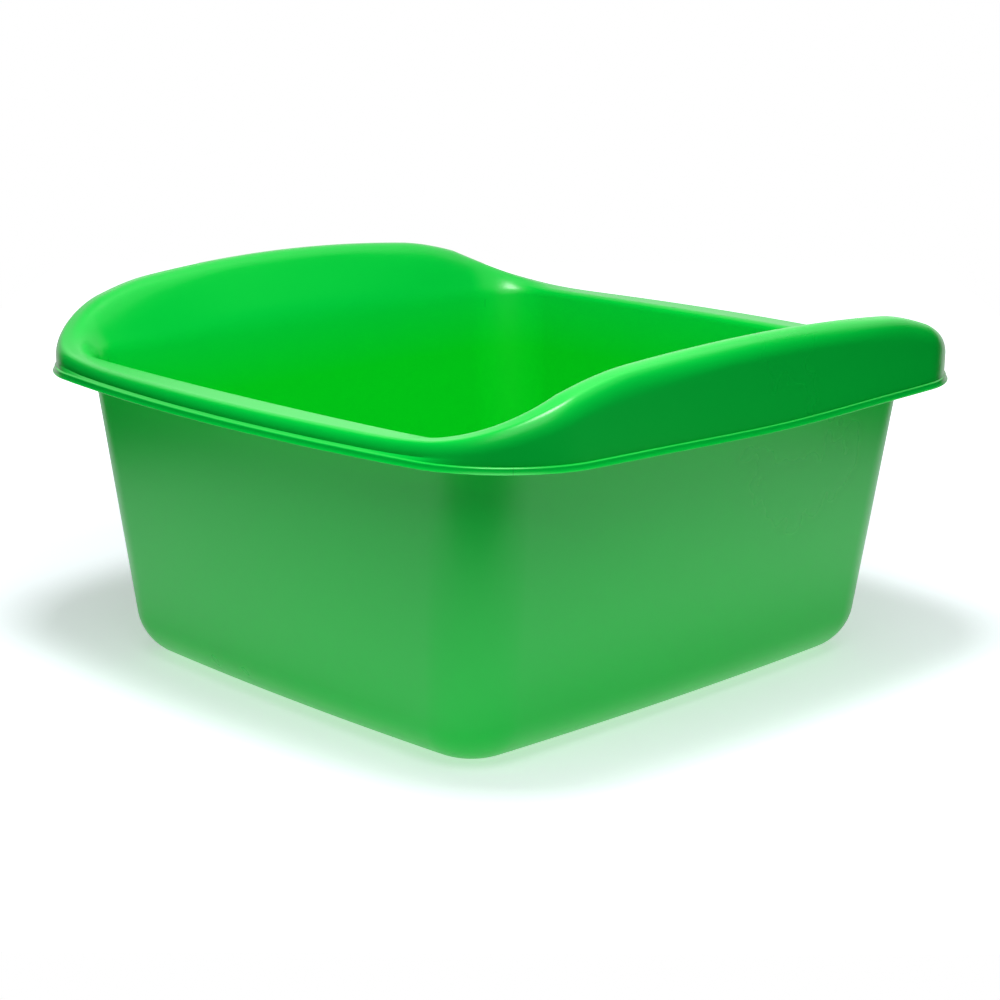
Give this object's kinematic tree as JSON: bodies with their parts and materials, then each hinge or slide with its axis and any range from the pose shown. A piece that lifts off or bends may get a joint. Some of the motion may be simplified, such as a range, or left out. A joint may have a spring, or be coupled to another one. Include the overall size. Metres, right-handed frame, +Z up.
{
  "type": "basin",
  "caption": "Square plastic washing basin with tapering walls, a flat outward rim with a lip bead, and raised grips on opposite ends",
  "frame": {"origin": "on the floor that the basin stands on, below the middle of its outline", "axes": "+Z up, +X and -X towards the two raised grips, +Y and -Y towards the two low sides"},
  "size_m": [0.36, 0.3534, 0.1839],
  "materials": {
    "green_plastic": "satin"
  },
  "bodies": {
    "root": {"basin": "green_plastic"}
  },
  "joints": []
}
